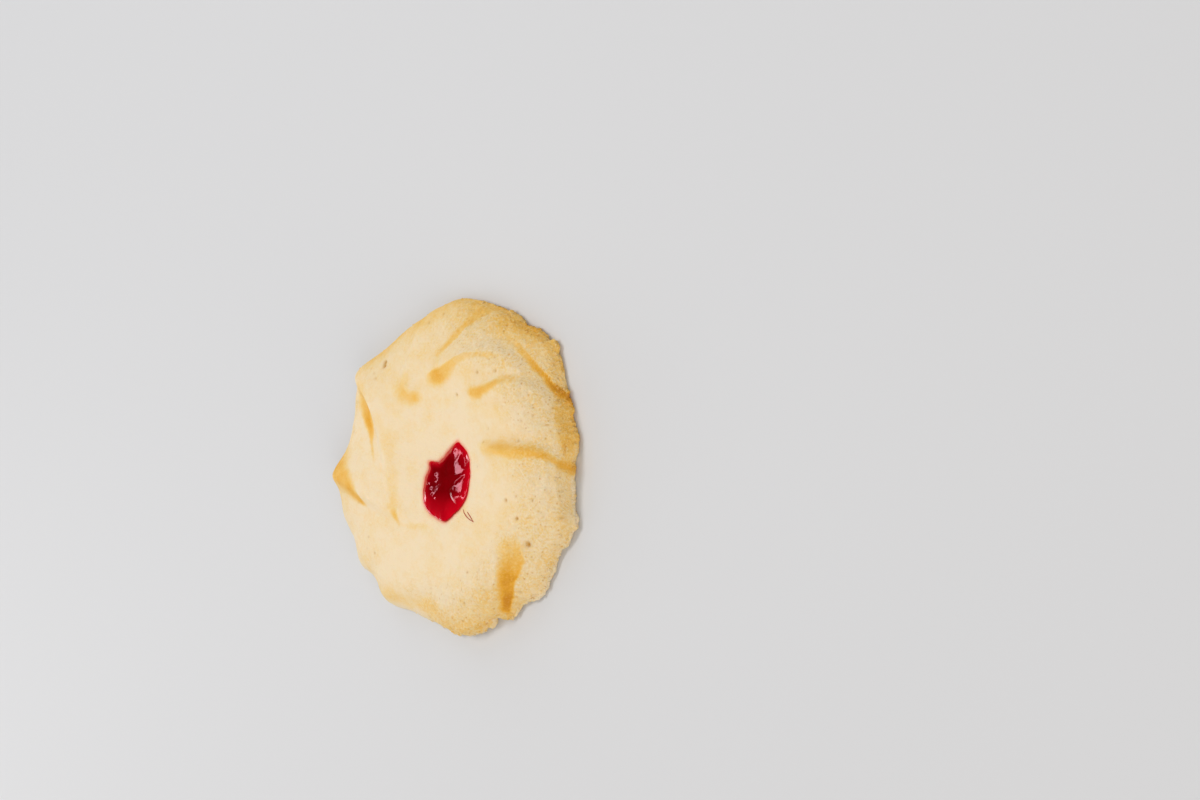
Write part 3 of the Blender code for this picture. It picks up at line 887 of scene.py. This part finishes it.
def crumb_grain_group():
    """Sandy crumb as values: height, and masks of grains, shade, hollows and slow mottling.

    Grains are the tops of a coarse noise, which is also the bump; the pale sand laid on them is
    partly painted light on the raised grain tops. Hollows are the cores of scattered cells, kept
    where a cell's own random value is high; their darker gold is partly painted shade in the pits.
    Height is fine noise plus coarse noise weighted by the grit, less the hollows. The shade output
    is painted shade: the coarse noise round 0, darker where the bump is low, weighted by mottling
    and grit.
    """
    group = bpy.data.node_groups.new("crumb_grain", "ShaderNodeTree")
    group.interface.new_socket("Grit", in_out="INPUT", socket_type="NodeSocketFloat")
    for name in ("Height", "SandAndLight", "PaintedShade", "Hollow", "Mottle"):
        group.interface.new_socket(name, in_out="OUTPUT", socket_type="NodeSocketFloat")
    grit = group.nodes.new("NodeGroupInput").outputs["Grit"]
    leave = group.nodes.new("NodeGroupOutput")
    fine = noise_texture(group, 3400.0, 2.0, 0.6)
    coarse = noise_texture(group, 2100.0, 3.0, 0.6)
    mottle = noise_texture(group, 170.0, 6.0, 0.74)
    cells = add_node(group, "ShaderNodeTexVoronoi", {"Scale": 1000.0, "Randomness": 1.0})
    place = add_node(group, "ShaderNodeTexCoord").outputs["Object"]
    group.links.new(place, cells.inputs["Vector"])
    cell_value = add_node(group, "ShaderNodeSeparateColor")
    group.links.new(cells.outputs["Color"], cell_value.inputs["Color"])

    # Hollows dig into the bump, and their darker gold is partly painted shade in the pits
    core = map_range(group, cells.outputs["Distance"], (0.28, 0.12), (0.0, 1.0))
    kept = map_range(group, cell_value.outputs["Red"], (0.4, 0.7), (0.0, 1.0))
    hollow = math_node(group, "MULTIPLY", core, kept)

    weight = math_node(group, "MULTIPLY_ADD", grit, 1.6, 0.8)
    rough = math_node(group, "MULTIPLY", coarse, weight)
    height = math_node(group, "MULTIPLY_ADD", fine, 0.5, rough)
    depth = math_node(group, "MULTIPLY_ADD", grit, -0.35, -0.05)
    height = math_node(group, "MULTIPLY_ADD", hollow, depth, height)

    # Painted shade: the crumb is darker where the coarse noise, and so the bump, is low between the
    # grains
    shade = map_range(group, coarse, (0.35, 0.65), (0.09, -0.09))
    patch = map_range(group, mottle, (0.38, 0.62), (0.45, 1.4))
    shade = math_node(group, "MULTIPLY", shade, patch)
    shade = math_node(group, "MULTIPLY", shade, math_node(group, "ADD", grit, 0.35))

    # Pale sand on the raised tops of the coarse noise, partly painted light
    grain = map_range(group, coarse, (0.5, 0.75), (0.0, 1.0))
    results = {"Height": height, "SandAndLight": grain, "PaintedShade": shade, "Hollow": hollow, "Mottle": mottle}
    for name, result in results.items():
        group.links.new(result, leave.inputs[name])
    return group


def set_inputs(shader, values):
    """Give each named input of the shader its value."""
    for name, value in values.items():
        shader.inputs[name].default_value = value


def attribute_value(tree, name):
    """Output socket of one of the piece's own point values."""
    return add_node(tree, "ShaderNodeAttribute", attribute_name=name).outputs["Fac"]


def mix_colour(tree, factor, first, second):
    """Mix two colours, each a value or a socket, by a factor value or socket."""
    mix = add_node(tree, "ShaderNodeMix", data_type="RGBA")
    sockets = [s for s in mix.inputs if s.enabled]
    for socket, source in zip(sockets, (factor, first, second)):
        if isinstance(source, bpy.types.NodeSocket):
            tree.links.new(source, socket)
        else:
            socket.default_value = source
    return [s for s in mix.outputs if s.enabled][0]


# Colours of the crumb by its browning, of its sand (partly painted light on the grain tops), of its
# hollows and pores (darker partly as painted shade) and of the jam stain
BAKE_COLOURS = (
    (0.0, srgb(240, 218, 181)), (0.2, srgb(239, 208, 150)), (0.45, srgb(239, 192, 102)),
    (0.75, srgb(232, 168, 50)), (1.0, srgb(208, 138, 28)),
)
SAND_AND_LIGHT = srgb(252, 232, 186)
HOLLOW_AND_SHADE = srgb(214, 156, 70)
PORE_AND_SHADE = srgb(196, 138, 24)
STAIN = srgb(250, 138, 108)

# Colours of the jam where it is thin, where it is deep and in its pulp, of a dried hair of it,
# and of the floor
JAM_THIN = srgb(206, 4, 26)
JAM_DEEP = srgb(112, 0, 3)
JAM_PULP = srgb(150, 0, 16)
DRIED_JAM = srgb(186, 84, 46)
FLOOR = srgb(214, 214, 215)


def bake_colour(tree, bake):
    """Colour of the crumb from pale cream through gold to brown as it bakes."""
    scale = add_node(tree, "ShaderNodeValToRGB")
    stops = scale.color_ramp.elements
    while len(stops) < len(BAKE_COLOURS):
        stops.new(0.5)
    for stop, (place, colour) in zip(stops, BAKE_COLOURS):
        stop.position = place
        stop.color = colour
    tree.links.new(bake, scale.inputs["Fac"])
    return scale.outputs["Color"]


def biscuit_material(grain_group):
    """Dry crumb, from its point values and the grain group.

    The browning plus mottling and painted shade between the grains picks a colour, over which
    lie sand that is partly painted light on the grain tops, hollows and pores darkened partly as
    painted shade, and the jam's stain; the group's height is the bump.
    """
    material, tree, shader = new_material("baked_crumb")
    grit = attribute_value(tree, "grit")
    grain = add_node(tree, "ShaderNodeGroup", node_tree=grain_group)
    tree.links.new(grit, grain.inputs["Grit"])
    spread = map_range(tree, grain.outputs["Mottle"], (0.3, 0.7), (-0.13, 0.17))
    bake = math_node(tree, "ADD", attribute_value(tree, "bake"), spread)
    # Painted shade between the grains darkens the browning
    bake = math_node(tree, "ADD", bake, grain.outputs["PaintedShade"])
    colour = bake_colour(tree, bake)
    # Pale sand on the grain tops, partly painted light
    sand_and_light_share = math_node(tree, "MULTIPLY_ADD", grit, 0.26, 0.05)
    sand_and_light_share = math_node(tree, "MULTIPLY", grain.outputs["SandAndLight"], sand_and_light_share)
    # Darker gold in the hollows, partly painted shade
    pit_shade_share = math_node(tree, "MULTIPLY", grit, 0.6)
    pit_shade_share = math_node(tree, "MULTIPLY", grain.outputs["Hollow"], pit_shade_share)
    stained = math_node(tree, "MULTIPLY", attribute_value(tree, "stain"), 0.85)
    # Darker gold in the pores, partly painted shade in the pits
    in_pore = attribute_value(tree, "pore")
    for share, over in ((sand_and_light_share, SAND_AND_LIGHT), (pit_shade_share, HOLLOW_AND_SHADE), (in_pore, PORE_AND_SHADE), (stained, STAIN)):
        colour = mix_colour(tree, share, colour, over)
    tree.links.new(colour, shader.inputs["Base Color"])
    normal = bump_normal(tree, grain.outputs["Height"], 0.7, 0.00022)
    tree.links.new(normal, shader.inputs["Normal"])
    set_inputs(shader, {
        "Roughness": 0.78, "Specular IOR Level": 0.25, "Subsurface Weight": 0.12,
        "Subsurface Radius": (1.0, 0.55, 0.25), "Subsurface Scale": 0.001,
    })
    return material


def jam_material():
    """Wet red jelly, brighter at its thin edge, dark where it is deep, with pink reflections."""
    material, tree, shader = new_material("jam_gel")
    pulp = noise_texture(tree, 420.0, 3.0, 0.55)
    colour = mix_colour(tree, attribute_value(tree, "depth"), JAM_THIN, JAM_DEEP)
    colour = mix_colour(tree, map_range(tree, pulp, (0.35, 0.75), (0.0, 0.5)), colour, JAM_PULP)
    tree.links.new(colour, shader.inputs["Base Color"])
    tree.links.new(bump_normal(tree, pulp, 0.2, 0.0002), shader.inputs["Normal"])
    set_inputs(shader, {
        "Roughness": 0.1, "Specular IOR Level": 0.35, "Specular Tint": (1.0, 0.42, 0.52, 1.0),
    })
    return material


def plain_material(name, colour, roughness):
    """Principled material of one colour with a faint variation."""
    material, tree, shader = new_material(name)
    darker = tuple(0.985 * part for part in colour[:3]) + (1.0,)
    shade = mix_colour(tree, noise_texture(tree, 6.0, 2.0), colour, darker)
    tree.links.new(shade, shader.inputs["Base Color"])
    set_inputs(shader, {"Roughness": roughness})
    return material


def camera_frame():
    """Camera matrix in metres: tilted from +Z towards +X, rolled, aimed so that the whirl's
    axis falls on its pixel in the photograph at the scale of PIXELS_PER_MM."""
    back = np.array([np.sin(TILT), 0.0, np.cos(TILT)])
    level = np.array([np.cos(TILT), 0.0, -np.sin(TILT)])
    upright = np.array([0.0, 1.0, 0.0])
    right = np.cos(ROLL) * level + np.sin(ROLL) * upright
    up = np.cos(ROLL) * upright - np.sin(ROLL) * level
    focal = LENS / SENSOR * PHOTO_SIZE[0]
    distance = focal / PIXELS_PER_MM
    aside = (CENTRE_PIXEL[0] - PHOTO_SIZE[0] / 2) / PIXELS_PER_MM
    below = (CENTRE_PIXEL[1] - PHOTO_SIZE[1] / 2) / PIXELS_PER_MM
    centre = np.array([0.0, 0.0, CENTRE_HEIGHT])
    place = centre + distance * back - aside * right + below * up + SHIFT
    axes = np.stack([right, up, back, place * MM], axis=-1)
    return Matrix([*axes.tolist(), [0.0, 0.0, 0.0, 1.0]])


def add_camera():
    """Camera with the photograph's lens and view."""
    lens = bpy.data.cameras.new("camera")
    lens.lens = LENS
    lens.sensor_width = SENSOR
    lens.clip_end = VIEW_DEPTH
    camera = bpy.data.objects.new("camera", lens)
    bpy.context.scene.collection.objects.link(camera)
    camera.matrix_world = camera_frame()
    bpy.context.scene.camera = camera


def add_light(lamp):
    """Rectangular light at its distance in its direction, facing the part."""
    source = bpy.data.lights.new(lamp.name, "AREA")
    source.shape = "RECTANGLE"
    source.size, source.size_y = lamp.size
    source.energy = lamp.power
    source.color = lamp.colour
    light = bpy.data.objects.new(lamp.name, source)
    bpy.context.scene.collection.objects.link(light)
    away = Vector(lamp.direction).normalized()
    light.location = away * lamp.distance
    light.rotation_euler = away.to_track_quat("Z", "Y").to_euler()
    light.visible_diffuse = lamp.lit
    light.visible_glossy = lamp.mirrored


def add_stage():
    """Pale seamless floor, the lamps, and an even sky that the jam doesn't mirror."""
    corners = [(-1, -1), (1, -1), (1, 1), (-1, 1)]
    mesh = bpy.data.meshes.new("floor")
    mesh.from_pydata([(FLOOR_HALF * x, FLOOR_HALF * y, FLOOR_DROP) for x, y in corners], [],
                     [(0, 1, 2, 3)])
    floor = bpy.data.objects.new("floor", mesh)
    bpy.context.scene.collection.objects.link(floor)
    mesh.materials.append(plain_material("floor_paper", FLOOR, 0.6))
    for lamp in LAMPS:
        add_light(lamp)
    world = bpy.data.worlds.new("world")
    bpy.context.scene.world = world
    world.use_nodes = True
    set_inputs(world.node_tree.nodes["Background"], {"Color": SKY_COLOUR, "Strength": SKY_STRENGTH})
    world.cycles_visibility.glossy = False


add_camera()
add_stage()
bpy.context.scene.view_settings.view_transform = "Standard"

grain_group = crumb_grain_group()
crumb = biscuit_material(grain_group)
jelly = jam_material()
dried = plain_material("dried_jam", DRIED_JAM, 0.45)

biscuit = add_piece("biscuit_crumb", biscuit_mesh(), crumb)
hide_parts("biscuit")
add_piece("rim_crumbs", crumbs_mesh(), crumb)
jam = add_piece("jam_gel", jam_mesh(), jelly)
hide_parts("jam")
for number, line in enumerate(STRANDS, 1):
    add_piece(f"jam_strand_{number}", strand_mesh(number, line), dried)
